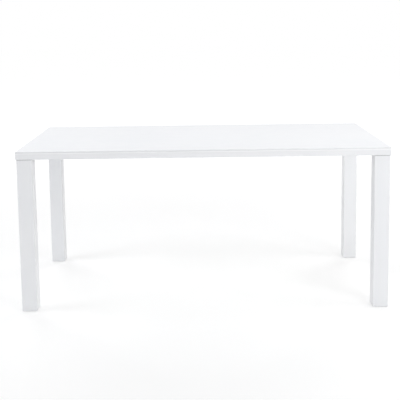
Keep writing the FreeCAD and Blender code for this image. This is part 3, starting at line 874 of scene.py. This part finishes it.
class TABLE_OT_make_glides(bpy.types.Operator):
    """Make the four adjustable glides: a threaded stem and a moulded pad each"""

    bl_idname = "table.make_glides"
    bl_label = "Make the Glides"

    def execute(self, context):
        props = context.scene.table_fittings
        low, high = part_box(f"{CORNERS[0]}_glide_stem")
        radius = props.stem_thread / 2
        crest = CREST_MARGIN * radius
        tip, lead_in = radius - 0.001, 0.0011
        stem = thread_inside("stem_pattern", radius, props.stem_pitch, METRIC_DEPTH * props.stem_pitch,
                             [(crest, low.z), (crest, high.z - lead_in), (tip, high.z)], props.thread_steps)
        pad = moulded_pad(props, socket_floor=low.z)
        for corner in CORNERS:
            body = f"{corner}_glide"
            place = middle_of(f"{body}_stem")
            threaded = checked(copied(stem, f"{corner}_threaded_stem", place))
            hand_over(threaded, shared(zinc_steel), body, f"{body}_stem")
            foot = checked(copied(pad, f"{corner}_foot_pad", place))
            hand_over(foot, shared(nylon), body, f"{body}_pad")
        bpy.data.objects.remove(stem)
        bpy.data.objects.remove(pad)
        return {"FINISHED"}


def moulded_pad(props, socket_floor):
    """A round pad with a socket for its stem, rounded rims, a dished sole and finger grips."""
    low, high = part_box(f"{CORNERS[0]}_glide_pad")
    radius = props.pad_width / 2
    socket = props.glide_bore / 2
    socket_chamfer = 0.0004
    sole_ring = 0.7 * radius
    dish, dish_level = 0.66 * radius, low.z + 0.0006
    gate, gate_floor, gate_level = 0.1 * radius, 0.08 * radius, low.z + 0.0009
    rim_rounding = 0.001
    grip_width, grip_offset = 0.006, 0.0022
    pad = turned("pad_pattern", [
        (socket, socket_floor), (socket, high.z - socket_chamfer), (socket + socket_chamfer, high.z),
        (radius, high.z), (radius, low.z), (sole_ring, low.z), (dish, dish_level), (gate, dish_level),
        (gate_floor, gate_level)], vertices=96)
    ease_ring(pad, radius, high.z, rim_rounding, segments=4)
    ease_ring(pad, radius, low.z, rim_rounding, segments=4)
    grip = bore("grip_pattern", grip_width, low.z, high.z)
    first = Vector((radius + grip_offset, 0, 0))
    turns = [2 * math.pi * number / props.pad_grips for number in range(props.pad_grips)]
    ring = [Euler((0, 0, turn)).to_matrix() @ first for turn in turns]
    combine(pad, "DIFFERENCE", spread(grip, "grips", ring))
    return pad


class TABLE_OT_studio(bpy.types.Operator):
    """Set up the white floor, the soft light and the camera"""

    bl_idname = "table.studio"
    bl_label = "Set Up the Studio"

    def execute(self, context):
        props = context.scene.table_studio
        context.scene.view_settings.view_transform = "Standard"
        white_room(context, props)
        white_floor(props)
        softbox("overhead_softbox", props.overhead, (0, 0, 3.2), (2.5, 2.5), props.cool_white)
        softbox("front_softbox", props.front, (0, -8, 1.5), (7, 2.6))
        softbox("right_front_softbox", props.right_front, (3.6, -4.4, 2.2), (2.4, 2))
        softbox("right_near_softbox", props.right_near, (1.8, -2.6, 2.6), (1.4, 1.2))
        softbox("left_front_softbox", props.left_front, (-5.5, -6, 1.5), (4, 2.6))
        softbox("right_softbox", props.right_side, (3.2, -0.6, 2.6), (1.6, 1.6))
        softbox("left_softbox", props.left_side, (-3.2, -0.6, 2.6), (1.6, 1.6), props.cool_white)
        softbox("back_right_softbox", props.back, (4, 6, 4.4), (4, 3))
        softbox("back_left_softbox", props.back, (-4, 6, 4.4), (4, 3))
        set_camera(context, props)
        return {"FINISHED"}


def seen_directly(tree):
    """One for rays that go to the camera straight or by way of a mirror or glass, and none for the rest."""
    path = tree.nodes.new("ShaderNodeLightPath")
    seen = path.outputs["Is Camera Ray"]
    for name in ("Is Glossy Ray", "Is Transmission Ray"):
        either = tree.nodes.new("ShaderNodeMath")
        either.operation = "MAXIMUM"
        tree.links.new(seen, either.inputs[0])
        tree.links.new(path.outputs[name], either.inputs[1])
        seen = either.outputs["Value"]
    return seen


def white_room(context, props):
    """White all round to look at, and a weaker even light."""
    world = bpy.data.worlds.new("white_room")
    world.use_nodes = True
    context.scene.world = world
    tree = world.node_tree
    background = tree.nodes["Background"]
    background.inputs["Color"].default_value = (1, 1, 1, 1)
    strength = tree.nodes.new("ShaderNodeMapRange")
    strength.inputs["To Min"].default_value = props.fill
    strength.inputs["To Max"].default_value = 1
    tree.links.new(seen_directly(tree), strength.inputs["Value"])
    tree.links.new(strength.outputs["Result"], background.inputs["Strength"])


def white_floor(props):
    """A wide pale floor that looks white, keeps a share of the shadows and is clear from underneath."""
    floor = new_primitive("floor", bpy.ops.mesh.primitive_circle_add, vertices=96,
                          radius=props.floor_radius, fill_type="NGON")
    finish = Finish("white_floor")
    tree = finish.tree
    mottle = finish.ramp(finish.noise(0.5), 0.3, 0.7, 0.99, 1.0)
    real = finish.add("ShaderNodeBsdfDiffuse")
    finish.feed(real.inputs["Color"], finish.blend(mottle, (0, 0, 0), props.floor_colour))
    white = finish.add("ShaderNodeEmission")
    off = finish.add_fed("ShaderNodeVectorMath", finish.place, operation="LENGTH").outputs["Value"]
    strength = finish.ramp(off, props.near_reach, props.far_reach, props.near_white, props.far_white)
    finish.feed(white.inputs["Strength"], strength)
    shown = finish.add("ShaderNodeMixShader")
    shown.inputs["Fac"].default_value = props.shadow_share
    tree.links.new(white.outputs["Emission"], shown.inputs[1])
    tree.links.new(real.outputs["BSDF"], shown.inputs[2])
    choice = finish.add("ShaderNodeMixShader")
    tree.links.new(seen_directly(tree), choice.inputs["Fac"])
    tree.links.new(real.outputs["BSDF"], choice.inputs[1])
    tree.links.new(shown.outputs["Shader"], choice.inputs[2])
    sided = finish.add("ShaderNodeMixShader")
    tree.links.new(finish.add("ShaderNodeNewGeometry").outputs["Backfacing"], sided.inputs["Fac"])
    tree.links.new(choice.outputs["Shader"], sided.inputs[1])
    tree.links.new(finish.add("ShaderNodeBsdfTransparent").outputs["BSDF"], sided.inputs[2])
    tree.links.new(sided.outputs["Shader"], tree.nodes["Material Output"].inputs["Surface"])
    floor.data.materials.append(finish.material)


def softbox(name, power, place, size, colour=(1, 1, 1)):
    """A lamp aimed at the middle of the table. Gloss doesn't show it, so the lacquer gets no flare."""
    aim = sum(CAD_BOX, Vector()) / 2
    bpy.ops.object.light_add(type="AREA", location=place)
    lamp = bpy.context.object
    lamp.name = name
    lamp.data.shape = "RECTANGLE"
    lamp.data.size, lamp.data.size_y = size
    lamp.data.energy = power
    lamp.data.color = colour
    lamp.visible_camera = False
    lamp.visible_glossy = False
    lamp.rotation_euler = (Vector(place) - aim).to_track_quat("Z", "Y").to_euler()


def set_camera(context, props):
    """The camera at the photograph's viewing angle."""
    camera = bpy.data.cameras.new("photo_camera")
    camera.sensor_width = 36
    camera.lens = props.camera_lens
    camera.shift_y = props.camera_shift
    holder = bpy.data.objects.new("photo_camera", camera)
    context.scene.collection.objects.link(holder)
    tilt = Euler((math.pi / 2 + props.camera_pitch, 0, 0)).to_matrix().to_4x4()
    roll = Matrix.Rotation(props.camera_roll, 4, "Z")
    holder.matrix_world = Matrix.Translation(props.camera_place) @ tilt @ roll
    context.scene.camera = holder


class TABLE_PT_sidebar(bpy.types.Panel):
    """Lists the steps that dress the table"""

    bl_label = "White Dining Table"
    bl_idname = "TABLE_PT_sidebar"
    bl_space_type = "VIEW_3D"
    bl_region_type = "UI"
    bl_category = "Table"

    def draw(self, context):
        for operator in OPERATORS:
            self.layout.operator(operator.bl_idname)


GROUPS = {"table_lacquer": LacquerProps, "table_fittings": FittingProps, "table_studio": StudioProps}
OPERATORS = (
    TABLE_OT_lacquer_top,
    TABLE_OT_lacquer_legs,
    TABLE_OT_cover_underside,
    TABLE_OT_finish_core,
    TABLE_OT_plate_steel,
    TABLE_OT_turn_bolts,
    TABLE_OT_turn_screws,
    TABLE_OT_cast_inserts,
    TABLE_OT_make_glides,
    TABLE_OT_studio,
)


def register():
    """Make the classes and the scene's properties known to Blender."""
    for group in (*GROUPS.values(), *OPERATORS, TABLE_PT_sidebar):
        bpy.utils.register_class(group)
    for name, group in GROUPS.items():
        setattr(bpy.types.Scene, name, PointerProperty(type=group))


def unregister():
    """Take the properties and the classes out again."""
    for name in GROUPS:
        delattr(bpy.types.Scene, name)
    for group in (TABLE_PT_sidebar, *reversed(OPERATORS), *GROUPS.values()):
        bpy.utils.unregister_class(group)


def main():
    """Take every step in order."""
    register()
    for operator in OPERATORS:
        step = operator.bl_idname.split(".")[1]
        getattr(bpy.ops.table, step)()


if __name__ == "__main__":
    main()
